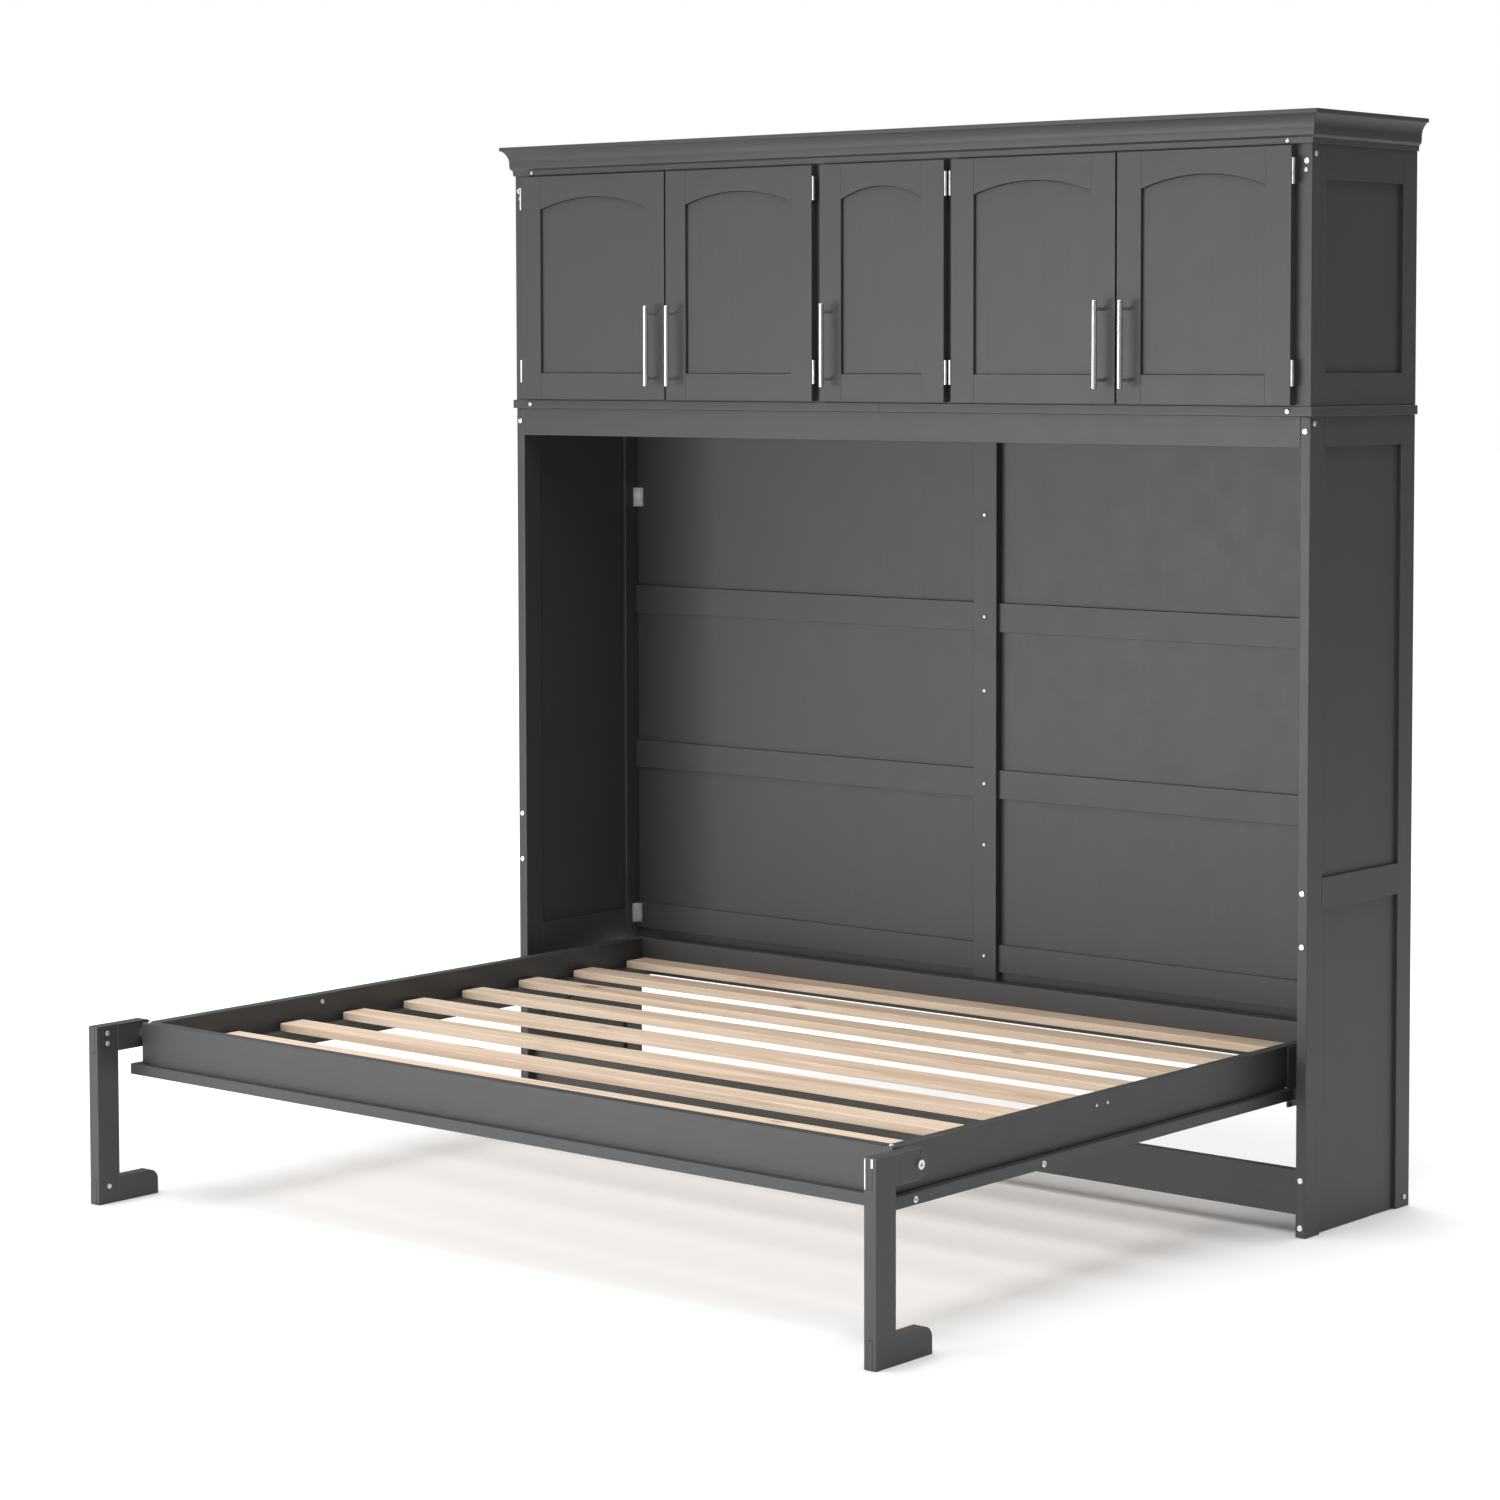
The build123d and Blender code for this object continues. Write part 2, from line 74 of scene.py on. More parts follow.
class Shader:
    """A material with helpers that add and join its nodes."""

    def __init__(self, name, **values):
        self.material = bpy.data.materials.new(name)
        self.material.use_nodes = True
        self.tree = self.material.node_tree
        self.surface = self.tree.nodes["Principled BSDF"]
        for socket, value in values.items():
            self.surface.inputs[socket.replace("_", " ")].default_value = value

    def node(self, kind, inputs=None, **settings):
        made = self.tree.nodes.new(kind)
        for key, value in settings.items():
            setattr(made, key, value)
        for key, value in (inputs or {}).items():
            socket = made.inputs[key]
            if isinstance(value, bpy.types.NodeSocket):
                self.tree.links.new(value, socket)
            else:
                socket.default_value = value
        return made

    def point(self, scale):
        source = self.node("ShaderNodeTexCoord").outputs["Object"]
        made = self.node("ShaderNodeMapping", {"Vector": source, "Scale": scale})
        return made.outputs["Vector"]

    def noise(self, scale, detail=2.0, roughness=0.5, distortion=0.0):
        inputs = {"Vector": self.point(scale), "Scale": 1.0, "Detail": detail}
        inputs.update({"Roughness": roughness, "Distortion": distortion})
        return self.node("ShaderNodeTexNoise", inputs).outputs["Fac"]

    def ramp(self, value, stops):
        made = self.node("ShaderNodeValToRGB", {"Fac": value})
        elements = made.color_ramp.elements
        while len(elements) < len(stops):
            elements.new(0.5)
        for element, (place, colour) in zip(elements, stops):
            element.position = place
            element.color = (*colour, 1.0)
        return made.outputs["Color"]

    def spread(self, value, low, high, start=0.3, end=0.7):
        inputs = {"Value": value, "From Min": start, "From Max": end}
        inputs.update({"To Min": low, "To Max": high})
        return self.node("ShaderNodeMapRange", inputs).outputs["Result"]

    def blend(self, kind, a, b, amount=1.0):
        made = self.node("ShaderNodeMix", data_type="RGBA", blend_type=kind)
        for index, value in ((0, amount), (6, a), (7, b)):
            socket = made.inputs[index]
            if isinstance(value, bpy.types.NodeSocket):
                self.tree.links.new(value, socket)
            else:
                socket.default_value = value if index == 0 else (*value, 1.0)
        return made.outputs[2]

    def math(self, kind, a, b=0.0):
        return self.node("ShaderNodeMath", {0: a, 1: b}, operation=kind).outputs[0]

    def bump(self, layers):
        """Stacked bumps: (height, strength, distance in metres)."""
        normal = None
        for height, strength, distance in layers:
            inputs = {"Height": height, "Strength": strength, "Distance": distance}
            if normal is not None:
                inputs["Normal"] = normal
            normal = self.node("ShaderNodeBump", inputs).outputs["Normal"]
        self.join(normal, "Normal")

    def join(self, output, socket):
        self.tree.links.new(output, self.surface.inputs[socket])


PAINT_LOW = (0.0440, 0.0440, 0.0437)
PAINT_HIGH = (0.0475, 0.0475, 0.0472)
# the lighter paint of rubbed edges: partly paint wear, partly a painted highlight along the
# rounded edges
PAINT_WORN_AND_HIGHLIT = (0.092, 0.092, 0.090)


def along(axis, slow, fast):
    """Texture scales for a pattern stretched along one axis."""
    scales = [fast, fast, fast]
    scales[axis] = slow
    return scales


def paint(name, axis, worn_and_highlit=False):
    """Satin paint over wood whose grain runs along the axis and shows through faintly."""
    shader = Shader(name, IOR=1.47)
    grain = shader.noise(along(axis, 3.0, 160.0), 5.0, 0.6, 0.4)
    cloud = shader.noise((2.3, 2.3, 2.3), 3.0, 0.55)
    shade = shader.spread(cloud, 0.0, 1.0)
    colour = shader.ramp(shade, ((0.0, PAINT_LOW), (1.0, PAINT_HIGH)))
    streak = shader.ramp(grain, ((0.35, (0.93, 0.93, 0.93)), (0.62, (1.0, 1.0, 1.0))))
    colour = shader.blend("MULTIPLY", colour, streak)
    # lighter patches on the rounded edges: partly paint worn through, partly a painted highlight
    if worn_and_highlit:
        rub_and_highlight = shader.spread(shader.noise((9.0, 9.0, 9.0), 5.0, 0.7), 0.12, 0.75, 0.42, 0.66)
        colour = shader.blend("MIX", colour, PAINT_WORN_AND_HIGHLIT, rub_and_highlight)
    shader.join(colour, "Base Color")
    gloss = shader.noise((16.0, 16.0, 16.0), 4.0, 0.6)
    shader.join(shader.spread(gloss, 0.445, 0.485), "Roughness")
    peel = shader.noise((420.0, 420.0, 420.0), 2.0, 0.5)
    shader.bump(((grain, 0.22, 0.00045), (peel, 0.10, 0.00012)))
    return shader.material


PINE_STOPS = (
    (0.24, (0.470, 0.320, 0.208)),
    (0.42, (0.640, 0.490, 0.365)),
    (0.56, (0.720, 0.585, 0.462)),
    (0.78, (0.540, 0.385, 0.262)),
)
SLAT_PITCH = 0.191
SLAT_OFFSET = 0.858  # brings the first slat's centre half-way through its own step


def pine(name, end=False):
    """Planed pale pine, grain along X, a little different from slat to slat."""
    shader = Shader(name, IOR=1.45)
    place = shader.node("ShaderNodeTexCoord").outputs["Object"]
    y = shader.node("ShaderNodeSeparateXYZ", {"Vector": place}).outputs["Y"]
    step = shader.math("DIVIDE", shader.math("SUBTRACT", y, SLAT_OFFSET), SLAT_PITCH)
    number = shader.math("FLOOR", step)
    chance = shader.node("ShaderNodeTexWhiteNoise", {"W": number}, noise_dimensions="1D")
    shift = shader.node("ShaderNodeCombineXYZ", {"X": shader.math("MULTIPLY", number, 3.7)})
    moved = shader.node("ShaderNodeVectorMath", {0: place, 1: shift.outputs[0]})
    scale = (34.0, 60.0, 60.0) if end else (1.1, 34.0, 26.0)
    mapped = shader.node("ShaderNodeMapping", {"Vector": moved.outputs[0], "Scale": scale})
    figure = {"Vector": mapped.outputs[0], "Scale": 1.0, "Detail": 4.0, "Distortion": 0.9}
    rings = shader.node("ShaderNodeTexNoise", figure).outputs["Fac"]
    colour = shader.ramp(rings, PINE_STOPS)
    fibre = shader.noise((9.0, 520.0, 520.0), 3.0, 0.6)
    tone = shader.ramp(fibre, ((0.3, (0.90, 0.88, 0.85)), (0.6, (1.0, 1.0, 1.0))))
    colour = shader.blend("MULTIPLY", colour, tone)
    knot_map = shader.node("ShaderNodeMapping", {"Vector": moved.outputs[0]})
    knot_map.inputs["Scale"].default_value = (3.1, 9.0, 9.0)
    spots = {"Vector": knot_map.outputs[0], "Scale": 1.0}
    spot = shader.node("ShaderNodeTexVoronoi", spots).outputs["Distance"]
    knot = shader.ramp(spot, ((0.06, (0.52, 0.36, 0.24)), (0.13, (1.0, 1.0, 1.0))))
    colour = shader.blend("MULTIPLY", colour, knot)
    shade = shader.spread(chance.outputs["Value"], 0.0, 1.0, 0.0, 1.0)
    tint = shader.ramp(shade, ((0.0, (0.93, 0.91, 0.88)), (1.0, (1.07, 1.07, 1.08))))
    shader.join(shader.blend("MULTIPLY", colour, tint), "Base Color")
    shader.join(shader.spread(fibre, 0.48, 0.62), "Roughness")
    shader.bump(((rings, 0.12, 0.0006), (fibre, 0.25, 0.0002)))
    return shader.material


def metal(name, light, dark, rough, scale, bumps):
    """Plated or brushed metal: colour and gloss vary along a stretched pattern."""
    shader = Shader(name, Metallic=1.0)
    streaks = shader.noise(scale, 4.0, 0.6)
    shader.join(shader.ramp(streaks, ((0.32, dark), (0.62, light))), "Base Color")
    shader.join(shader.spread(streaks, rough[0], rough[1]), "Roughness")
    shader.bump(((streaks, bumps, 0.00012),))
    return shader.material


def powder_coat(name):
    shader = Shader(name, IOR=1.5)
    grit = shader.noise((900.0, 900.0, 900.0), 3.0, 0.6)
    stops = ((0.3, (0.040, 0.040, 0.040)), (0.7, (0.056, 0.056, 0.056)))
    shader.join(shader.ramp(grit, stops), "Base Color")
    shader.join(shader.spread(grit, 0.48, 0.60), "Roughness")
    shader.bump(((grit, 0.35, 0.00025),))
    return shader.material


def nylon(name):
    shader = Shader(name, IOR=1.53, Subsurface_Weight=0.08, Subsurface_Scale=0.004)
    cloud = shader.noise((60.0, 60.0, 60.0), 3.0, 0.5)
    stops = ((0.3, (0.66, 0.65, 0.61)), (0.7, (0.74, 0.73, 0.70)))
    shader.join(shader.ramp(cloud, stops), "Base Color")
    shader.join(shader.spread(cloud, 0.42, 0.52), "Roughness")
    return shader.material


PAINTS = [paint(f"paint_grain_{a}", i) for i, a in enumerate("xyz")]
# the paint for rounded edges, lighter in patches: partly wear, partly a painted highlight
PAINTS.append(paint("paint_edge_worn_highlit", 2, worn_and_highlit=True))
PINE = [pine("pine_slat"), pine("pine_end", end=True)]
ZINC_LIGHT = (0.80, 0.80, 0.79)
ZINC_DARK = (0.62, 0.62, 0.61)
ZINC = metal("zinc", ZINC_LIGHT, ZINC_DARK, (0.26, 0.40), (90.0, 90.0, 90.0), 0.10)
STAMPED = metal("zinc_sheet", ZINC_LIGHT, ZINC_DARK, (0.30, 0.42), (40.0, 300.0, 60.0), 0.10)
NICKEL_LIGHT = (0.86, 0.85, 0.82)
NICKEL_DARK = (0.74, 0.73, 0.70)
NICKEL = metal("nickel", NICKEL_LIGHT, NICKEL_DARK, (0.24, 0.34), (1900.0, 1900.0, 9.0), 0.14)
POWDER = powder_coat("grey_powder")
BUSH = nylon("natural_nylon")

SLOT_MATERIALS = {
    "painted_wood": PAINTS,
    "slat_wood": PINE,
    "brushed_nickel": [NICKEL],
    # the hinge leaves take the cabinet paint: painted shade beside the bright barrels
    "hinge_steel": [STAMPED, PAINTS[2]],
    "bracket_steel": [STAMPED],
    "pivot_steel": [POWDER],
    "bush_nylon": [BUSH],
    "bolt_steel": [ZINC],
}
EDGE_MATERIAL = len(PAINTS) - 1

# ------------------------------------------------- rounded copies of CAD nodes

# Edge rounding in millimetres, by node name where it differs from its slot's.
SLOT_ROUNDING = {
    "painted_wood": 1.2,
    "slat_wood": 2.2,
    "brushed_nickel": 0.5,
    "hinge_steel": 0.3,
    "bracket_steel": 0.4,
    "pivot_steel": 0.8,
    "bush_nylon": 0.4,
    "bolt_steel": 0.5,
}
NODE_ROUNDING = {
    "crown_moulding": 0.6,
    "back_panels": 0.4,
    "upper_back_panel": 0.4,
    "lower_side_panels": 0.3,
    "upper_side_panels": 0.3,
    "slat_cleats": 0.8,
    "face_frame": 0.7,
    "lower_front_stiles": 2.2,
    "lower_back_stiles": 2.0,
    "upper_side_frames": 1.6,
    "bed_side_rails": 1.8,
    "bed_front_rail": 1.8,
    "bed_back_rail": 1.8,
    "left_leg_post": 1.6,
    "right_leg_post": 1.6,
    "left_leg_arm": 1.6,
    "right_leg_arm": 1.6,
    "left_leg_foot": 1.6,
    "right_leg_foot": 1.6,
}
DOOR_ROUNDING = {"frame": 1.3, "panel": 1.5}
SHORT_EDGE = 1.1  # an edge shorter than this many rounding widths isn't rounded
WIDE_ROUNDING = 0.001  # metres; from here on a rounding gets three segments
FLAT = math.radians(0.3)
END_GRAIN = 0.9  # how far along X a slat face has to point to show end grain


def rounding(node):
    if node.startswith("door_"):
        return DOOR_ROUNDING.get(node.split("_", 2)[2], SLOT_ROUNDING[SLOT[node]])
    return NODE_ROUNDING.get(node, SLOT_ROUNDING[SLOT[node]])


def solids_of(node):
    """The closed solids of a CAD node, each as its corner points and its triangles."""
    mesh = frame["nodes"][node].data
    found, points, index, faces, balance = [], [], {}, [], {}
    for polygon in mesh.polygons:
        corners = []
        for v in polygon.vertices:
            co = mesh.vertices[v].co
            key = (round(co.x, 6), round(co.y, 6), round(co.z, 6))
            if key not in index:
                index[key] = len(points)
                points.append(co.copy())
            corners.append(index[key])
        if len(set(corners)) < 3:
            continue
        faces.append(corners)
        for a, b in zip(corners, corners[1:] + corners[:1]):
            key, sign = ((a, b), 1) if a < b else ((b, a), -1)
            balance[key] = balance.get(key, 0) + sign
            if balance[key] == 0:
                del balance[key]
        if not balance:
            found.append((points, faces))
            points, index, faces = [], {}, []
    if faces:
        found.append((points, faces))
    return found


def longest_axis(points):
    spans = [max(p[i] for p in points) - min(p[i] for p in points) for i in range(3)]
    return spans.index(max(spans))


def finish_edges(bm, width):
    """Marks which edges are rounded: sharp ones that aren't part of a small bolt hole."""
    weight = bm.edges.layers.float.new("bevel_weight_edge")
    for edge in bm.edges:
        if len(edge.link_faces) != 2:
            continue
        sharp = edge.calc_face_angle(0.0) > SHARP
        if sharp and edge.calc_length() > SHORT_EDGE * width:
            edge[weight] = 1.0
        elif sharp:
            edge.smooth = False


def add_rounding(obj, width, edge_material=-1):
    bevel = obj.modifiers.new("rounded edges", "BEVEL")
    bevel.limit_method = "WEIGHT"
    bevel.width = width
    bevel.segments = 3 if width >= WIDE_ROUNDING else 2
    bevel.material = edge_material
    shade = obj.modifiers.new("even shading", "WEIGHTED_NORMAL")
    shade.keep_sharp = True
    shade.weight = 80


def hinge_pin(door):
    """Where a door's hinge pins stand, seen from above."""
    left, right, side = door
    edge = right if side > 0 else left
    return at(edge + side * HINGE_PIN_OUT, HINGE_PIN_Y, 0.0).to_2d()


def on_knuckle(face, pins):
    """True on the bright barrel of a hinge; its leaves take the dark cabinet paint, a painted
    shade beside the barrel.
    """
    middle = face.calc_center_median().to_2d()
    return min((middle - pin).length for pin in pins) < KNUCKLE_REACH * MM


def rounded_copy(node):
    """A copy of a CAD node, in the same place, with softly rounded edges."""
    slot = SLOT[node]
    width = rounding(node) * MM
    bm = bmesh.new()
    pins = [hinge_pin(door) for door in DOORS]
    for points, faces in solids_of(node):
        axis = longest_axis(points)
        verts = [bm.verts.new(p) for p in points]
        for corners in faces:
            face = bm.faces.new([verts[i] for i in corners])
            face.smooth = True
            if slot == "painted_wood":
                face.material_index = axis
            elif slot == "slat_wood":
                face.normal_update()
                face.material_index = 1 if abs(face.normal.x) > END_GRAIN else 0
            elif slot == "hinge_steel":
                # faces away from the barrel get the dark cabinet paint as painted shade
                face.material_index = 0 if on_knuckle(face, pins) else 1
    bmesh.ops.dissolve_limit(bm, angle_limit=FLAT, verts=bm.verts[:], edges=bm.edges[:])
    bm.normal_update()
    finish_edges(bm, width)
    mesh = bpy.data.meshes.new(f"{node}.rounded")
    bm.to_mesh(mesh)
    bm.free()
    for material in SLOT_MATERIALS[slot]:
        mesh.materials.append(material)
    piece = bpy.data.objects.new(f"{node}.rounded", mesh)
    bpy.context.scene.collection.objects.link(piece)
    # rounded edges of painted parts other than doors take the lighter edge paint: partly wear,
    # partly a painted highlight
    worn_and_highlit = slot == "painted_wood" and not node.startswith("door_")
    add_rounding(piece, width, EDGE_MATERIAL if worn_and_highlit else -1)
    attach(piece, BODY[node])
    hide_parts(node)


for node_name in sorted(frame["nodes"]):
    rounded_copy(node_name)

# ------------------------------------------------------------ small hardware


def turned(profile, segments=32):
    """A mesh turned round Z from (radius, height) points that start and end on the axis."""
    bm = bmesh.new()
    rings = []
    for radius, height in profile:
        if radius < 1e-9:
            rings.append([bm.verts.new((0, 0, height))])
            continue
        ring = []
        for k in range(segments):
            turn = 2 * math.pi * k / segments
            ring.append(bm.verts.new((radius * math.cos(turn), radius * math.sin(turn), height)))
        rings.append(ring)
    for low, high in zip(rings, rings[1:]):
        for k in range(segments):
            j = (k + 1) % segments
            quad = [low[k % len(low)], low[j % len(low)], high[j % len(high)], high[k % len(high)]]
            unique = [v for i, v in enumerate(quad) if v not in quad[:i]]
            if len(unique) > 2:
                bm.faces.new(unique)
    bmesh.ops.recalc_face_normals(bm, faces=bm.faces[:])
    return bm


SCREW_SEGMENTS = 24
# Proportions of a screw head, as shares of its radius or its height.
CROSS_ARM = 0.55
CROSS_HALF_WIDTH = 0.13
CROSS_TAPER = 0.8
CROSS_FLOOR = 0.35
SCREW_DOME = ((0.72, 1.0), (0.93, 0.72), (1.0, 0.35), (1.0, 0.0))


def cross_screw(radius, height):
    """A low domed screw head with a cross recess, facing +Z, its underside at Z = 0."""
    bm = bmesh.new()
    arm, half = radius * CROSS_ARM, radius * CROSS_HALF_WIDTH
    outline = []
    for k in range(4):
        turn = Matrix.Rotation(k * math.pi / 2, 3, "Z")
        for x, y in ((arm, -half), (arm, half), (half, half)):
            outline.append(turn @ Vector((x, y, 0)))
    top = [bm.verts.new((p.x, p.y, height)) for p in outline]
    deep = [(p.x * CROSS_TAPER, p.y * CROSS_TAPER, height * CROSS_FLOOR) for p in outline]
    floor = [bm.verts.new(p) for p in deep]
    count = len(outline)
    for k in range(count):
        j = (k + 1) % count
        bm.faces.new([top[k], top[j], floor[j], floor[k]])
    bm.faces.new(list(reversed(floor)))
    rings = []
    for across, up in SCREW_DOME:
        ring = []
        for k in range(SCREW_SEGMENTS):
            turn = 2 * math.pi * k / SCREW_SEGMENTS
            x, y = radius * across * math.cos(turn), radius * across * math.sin(turn)
            ring.append(bm.verts.new((x, y, height * up)))
        rings.append(ring)
    for low, high in zip(rings, rings[1:]):
        for k in range(SCREW_SEGMENTS):
            j = (k + 1) % SCREW_SEGMENTS
            bm.faces.new([low[k], high[k], high[j], low[j]])
    bm.faces.new(rings[-1])
    edges = [bm.edges.get((top[k], top[(k + 1) % count])) for k in range(count)]
    rim = rings[0]
    for k in range(SCREW_SEGMENTS):
        edges.append(bm.edges.get((rim[k], rim[(k + 1) % SCREW_SEGMENTS])))
    bmesh.ops.triangle_fill(bm, edges=edges, use_beauty=True, use_dissolve=False)
    bmesh.ops.recalc_face_normals(bm, faces=bm.faces[:])
    return bm


def facing(direction):
    return Vector(direction).to_track_quat("Z", "Y").to_matrix().to_4x4()


def scattered(name, make, places, body, material):
    """One piece made of the same small part at several (point, direction) places."""
    whole = bmesh.new()
    for point, direction in places:
        part = make()
        part.transform(Matrix.Translation(point) @ facing(direction))
        scratch = bpy.data.meshes.new("scratch")
        part.to_mesh(scratch)
        part.free()
        whole.from_mesh(scratch)
        bpy.data.meshes.remove(scratch)
    for face in whole.faces:
        face.smooth = True
    for edge in whole.edges:
        if len(edge.link_faces) == 2 and edge.calc_face_angle(0.0) > SHARP:
            edge.smooth = False
    mesh = bpy.data.meshes.new(name)
    whole.to_mesh(mesh)
    whole.free()
    mesh.materials.append(material)
    piece = bpy.data.objects.new(name, mesh)
    bpy.context.scene.collection.objects.link(piece)
    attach(piece, body)


# screws of the four corner plates on the back
CORNER_PLATE_T = 2.0
CORNER_HOLE_IN = 10.5  # from the plate's corner to its holes
CORNER_HOLE_UP = 14.0  # from the plate's middle to its holes
BACK_RAIL_T = 9.0
CORNER_PLATES = ((BACK_FACE - BACK_RAIL_T, 436.0), (BACK_FACE, 1487.5))
plate_screws = []
for side in SIDES:
    for face_y, mid_z in CORNER_PLATES:
        for z in (mid_z - CORNER_HOLE_UP, mid_z + CORNER_HOLE_UP):
            on_back = at(side * (INNER - CORNER_HOLE_IN), face_y - CORNER_PLATE_T, z)
            plate_screws.append((on_back, (0, -1, 0)))
            on_side = at(side * (INNER - CORNER_PLATE_T), face_y - CORNER_HOLE_IN, z)
            plate_screws.append((on_side, (-side, 0, 0)))
scattered(
    "corner_plate_screws",
    lambda: cross_screw(radius=3.2 * MM, height=1.0 * MM),
    plate_screws,
    "cabinet",
    ZINC,
)

# two screws through each moving hinge leaf into the door's edge
LEAF_T = 1.2
LEAF_SCREW_Y = -8.0
LEAF_SCREW_UP = 15.0
for number, (x0, x1, side) in enumerate(DOORS, start=1):
    edge_x = x1 if side > 0 else x0
    leaf_screws = []
    for hinge_z in HINGE_ZS:
        for z in (hinge_z - LEAF_SCREW_UP, hinge_z + LEAF_SCREW_UP):
            point = at(edge_x + side * LEAF_T, LEAF_SCREW_Y, z)
            leaf_screws.append((point, (side, 0, 0)))
    scattered(
        f"door_{number}_hinge_screws",
        lambda: cross_screw(radius=2.6 * MM, height=0.7 * MM),
        leaf_screws,
        f"door_{number}",
        ZINC,
    )

# a pair of small pins on the outside of each bed rail
RAIL_OUT = 1050.0
RAIL_PIN_YS = (-625.0, -588.0)
RAIL_PIN_Z = 368.0
PIN_PROFILE = ((0, 2.4), (2.6, 2.4), (3.4, 1.9), (3.6, 0.0), (0, 0.0))


def pin():
    return turned([(r * MM, h * MM) for r, h in PIN_PROFILE], 24)


rail_pins = []
for side in SIDES:
    for y in RAIL_PIN_YS:
        rail_pins.append((at(side * RAIL_OUT, y, RAIL_PIN_Z), (side, 0, 0)))
scattered("bed_rail_pins", pin, rail_pins, "bed", ZINC)


def strap(width, height, thick):
    """A thin plate facing +Z, its long side along Y, with chamfered edges."""
    bm = bmesh.new()
    bmesh.ops.create_cube(bm, size=1.0)
    bmesh.ops.scale(bm, vec=(width * MM, height * MM, thick * MM), verts=bm.verts[:])
    bmesh.ops.bevel(bm, geom=bm.edges[:], offset=0.3 * MM, segments=2, affect="EDGES")
    return bm


# Two narrow steel straps at the top of the right leg's front, over the tenon joint:
# name, place along X, lower and upper end, width.
STRAPS = (
    ("right_leg_long_strap", 1072.2, 332.0, 388.0, 2.6),
    ("right_leg_short_strap", 1088.6, 372.0, 388.5, 4.4),
)
STRAP_T = 1.0
STRAP_OUT = 0.1  # from the leg's front face to the middle of the strap's thickness
for name, x, low, high, width in STRAPS:
    place = at(x, LEG_FRONT - STRAP_OUT, (low + high) / 2)
    size = (width, high - low, STRAP_T)
    scattered(
        name,
        lambda: strap(*size),
        [(place, (0, -1, 0))],
        "right_leg",
        ZINC,
    )

# a bolt at each end of the crown's front, and one below each upper stile bolt
CROWN_BOLT = (1081.0, -4.4, 2282.5)
STILE_BOLT = (1124.0, 0.0, 2222.0)
crown_bolts = []
for x, y, z in (CROWN_BOLT, STILE_BOLT):
    crown_bolts += [(at(side * x, y, z), (0, -1, 0)) for side in SIDES]
scattered(
    "crown_bolts",
    lambda: cross_screw(radius=4.6 * MM, height=2.0 * MM),
    crown_bolts,
    "cabinet",
    ZINC,
)

# a bolt on top of each front corner of the bed
CORNER_BOLT = (1037.5, -1252.0, 388.0)
x, y, z = CORNER_BOLT
corner_bolts = [(at(side * x, y, z), (0, 0, 1)) for side in SIDES]
scattered(
    "bed_corner_bolts",
    lambda: cross_screw(radius=5.5 * MM, height=2.4 * MM),
    corner_bolts,
    "bed",
    ZINC,
)

# ------------------------------------------------------ floor, light, camera


FLOOR_SIZE = 60.0
FLOOR_GLOW = 0.9
FLOOR_GLOW_SPAN = (1.5, 14.0)  # metres from the middle over which the glow grows


def stage_floor():
    bm = bmesh.new()
    bmesh.ops.create_grid(bm, x_segments=1, y_segments=1, size=FLOOR_SIZE)
    mesh = bpy.data.meshes.new("floor")
    bm.to_mesh(mesh)
    bm.free()
    shader = Shader("floor", Roughness=0.9, Specular_IOR_Level=0.1)
    shader.surface.inputs["Base Color"].default_value = (0.90, 0.90, 0.90, 1.0)
    shader.surface.inputs["Emission Color"].default_value = (1.0, 1.0, 1.0, 1.0)
    place = shader.node("ShaderNodeTexCoord").outputs["Object"]
    away = shader.node("ShaderNodeVectorMath", {0: place}, operation="LENGTH")
    glow = shader.spread(away.outputs["Value"], 0.0, FLOOR_GLOW, *FLOOR_GLOW_SPAN)
    rays = shader.node("ShaderNodeLightPath")
    shader.join(shader.math("MULTIPLY", glow, rays.outputs["Is Camera Ray"]), "Emission Strength")
    mesh.materials.append(shader.material)
    floor = bpy.data.objects.new("floor", mesh)
    bpy.context.scene.collection.objects.link(floor)


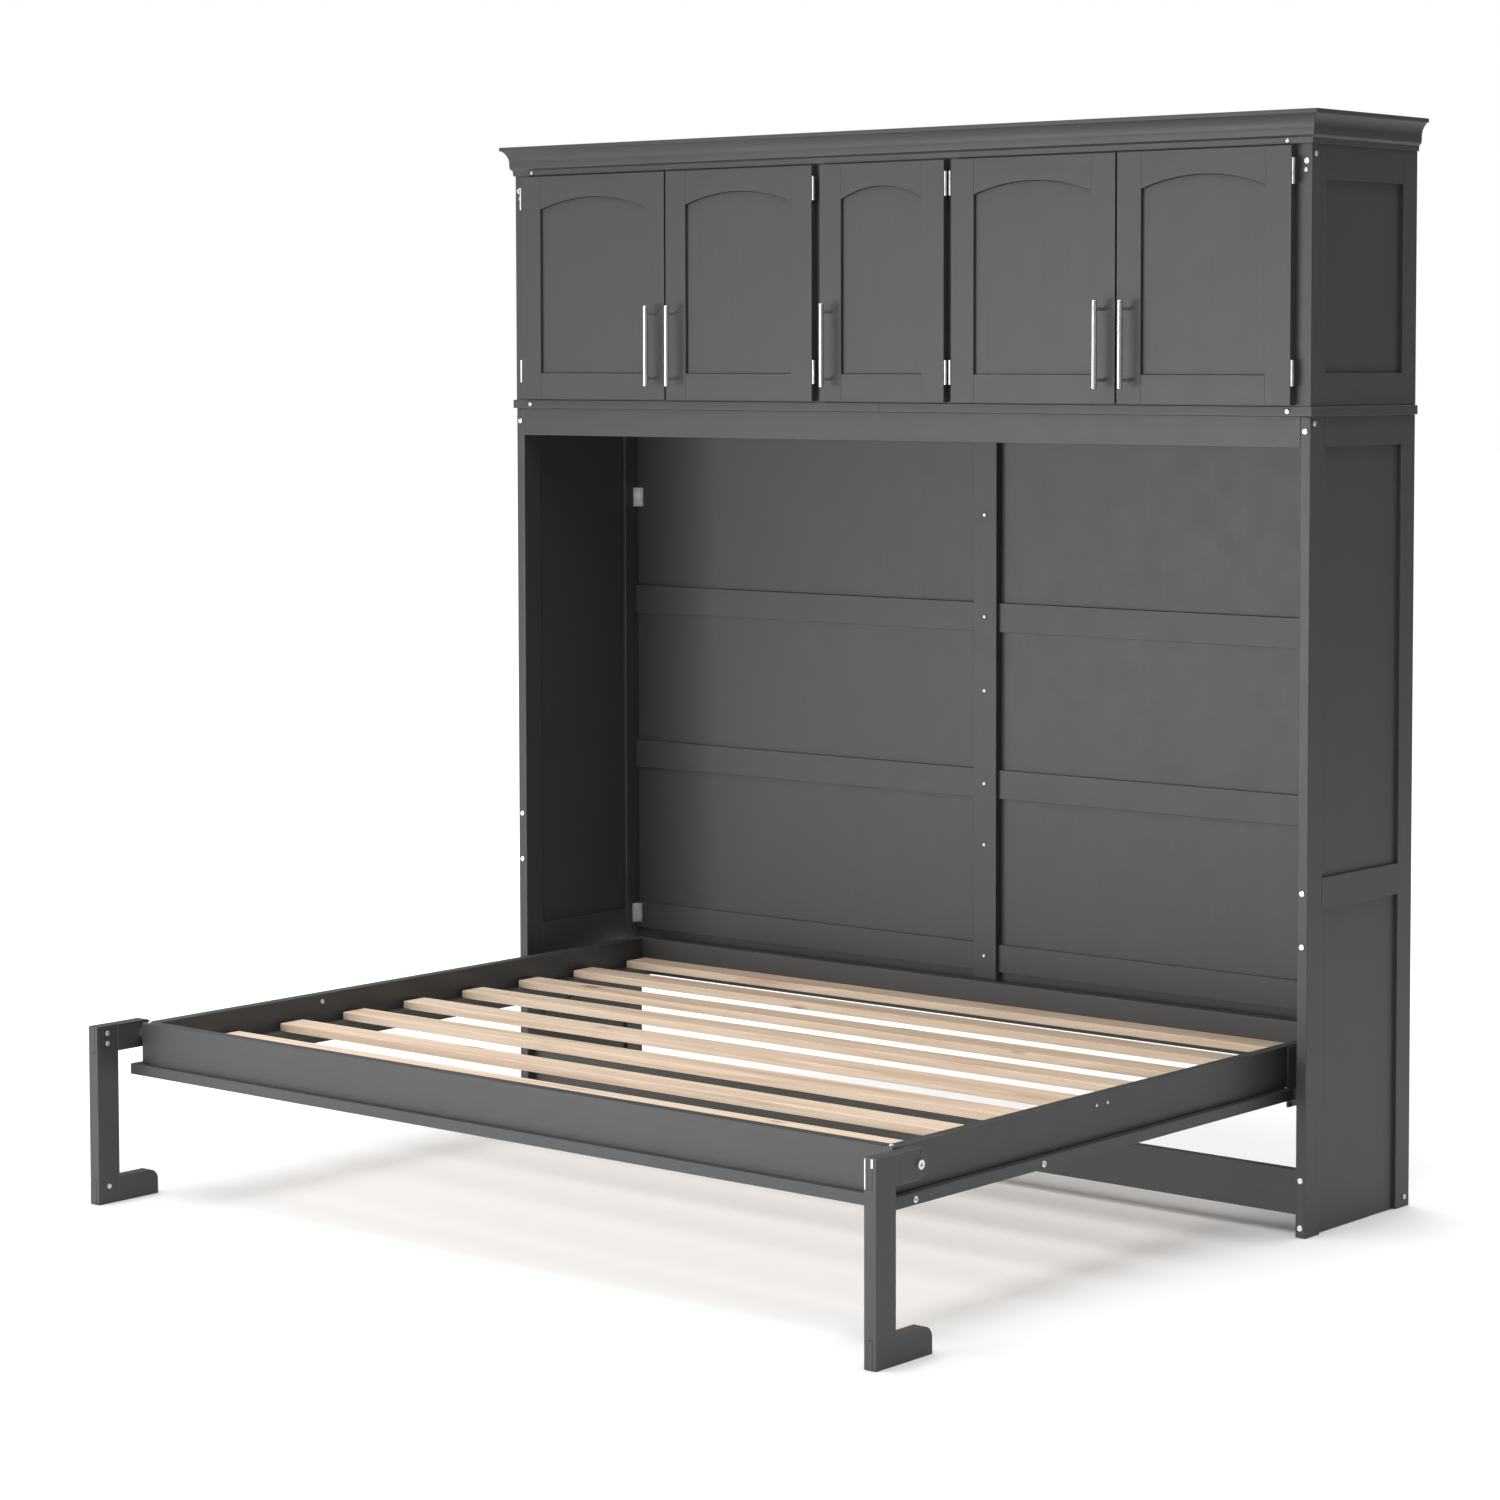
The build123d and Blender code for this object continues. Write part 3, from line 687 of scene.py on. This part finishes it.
def soft_light(name, place, target, size, watts):
    data = bpy.data.lights.new(name, "AREA")
    data.shape = "RECTANGLE"
    data.size, data.size_y = size
    data.energy = watts
    lamp = bpy.data.objects.new(name, data)
    lamp.location = place
    aim = Vector(target) - Vector(place)
    lamp.rotation_euler = aim.to_track_quat("-Z", "Y").to_euler()
    bpy.context.scene.collection.objects.link(lamp)


def studio_world(fill):
    world = bpy.data.worlds.new("studio")
    bpy.context.scene.world = world
    world.use_nodes = True
    tree = world.node_tree
    tree.nodes.clear()
    seen = tree.nodes.new("ShaderNodeBackground")
    seen.inputs["Color"].default_value = (1.0, 1.0, 1.0, 1.0)
    seen.inputs["Strength"].default_value = 1.0
    cast = tree.nodes.new("ShaderNodeBackground")
    cast.inputs["Color"].default_value = (1.0, 1.0, 1.0, 1.0)
    cast.inputs["Strength"].default_value = fill
    rays = tree.nodes.new("ShaderNodeLightPath")
    mix = tree.nodes.new("ShaderNodeMixShader")
    out = tree.nodes.new("ShaderNodeOutputWorld")
    tree.links.new(rays.outputs["Is Camera Ray"], mix.inputs[0])
    tree.links.new(cast.outputs[0], mix.inputs[1])
    tree.links.new(seen.outputs[0], mix.inputs[2])
    tree.links.new(mix.outputs[0], out.inputs["Surface"])


CAMERA_PLACE = (5.3657, -6.1659, 1.8298)
CAMERA_YAW = 38.855
CAMERA_PITCH = 3.381
CAMERA_LENS = 91.116
CAMERA_SHIFT = (-0.09, -0.11)
WORLD_FILL = 0.24

stage_floor()
studio_world(WORLD_FILL)
soft_light(
    "key", place=(-2.6, -6.2, 1.0), target=(0.0, 0.0, 0.6), size=(5.0, 2.0), watts=275.0
)
# long, to soften the stripes that the slats' shadows leave on the floor
soft_light(
    "top", place=(-0.5, 0.45, 7.5), target=(-0.5, 0.35, 0.0), size=(10.0, 13.5), watts=1330.0
)

camera = bpy.data.cameras.new("camera")
camera.sensor_width = 36.0
camera.lens = CAMERA_LENS
camera.shift_x, camera.shift_y = CAMERA_SHIFT
camera.clip_start, camera.clip_end = 0.1, 200.0
view_point = bpy.data.objects.new("camera", camera)
view_point.location = CAMERA_PLACE
view_point.rotation_euler = (math.radians(90 - CAMERA_PITCH), 0.0, math.radians(CAMERA_YAW))
bpy.context.scene.collection.objects.link(view_point)
bpy.context.scene.camera = view_point
bpy.context.scene.view_settings.view_transform = "Standard"
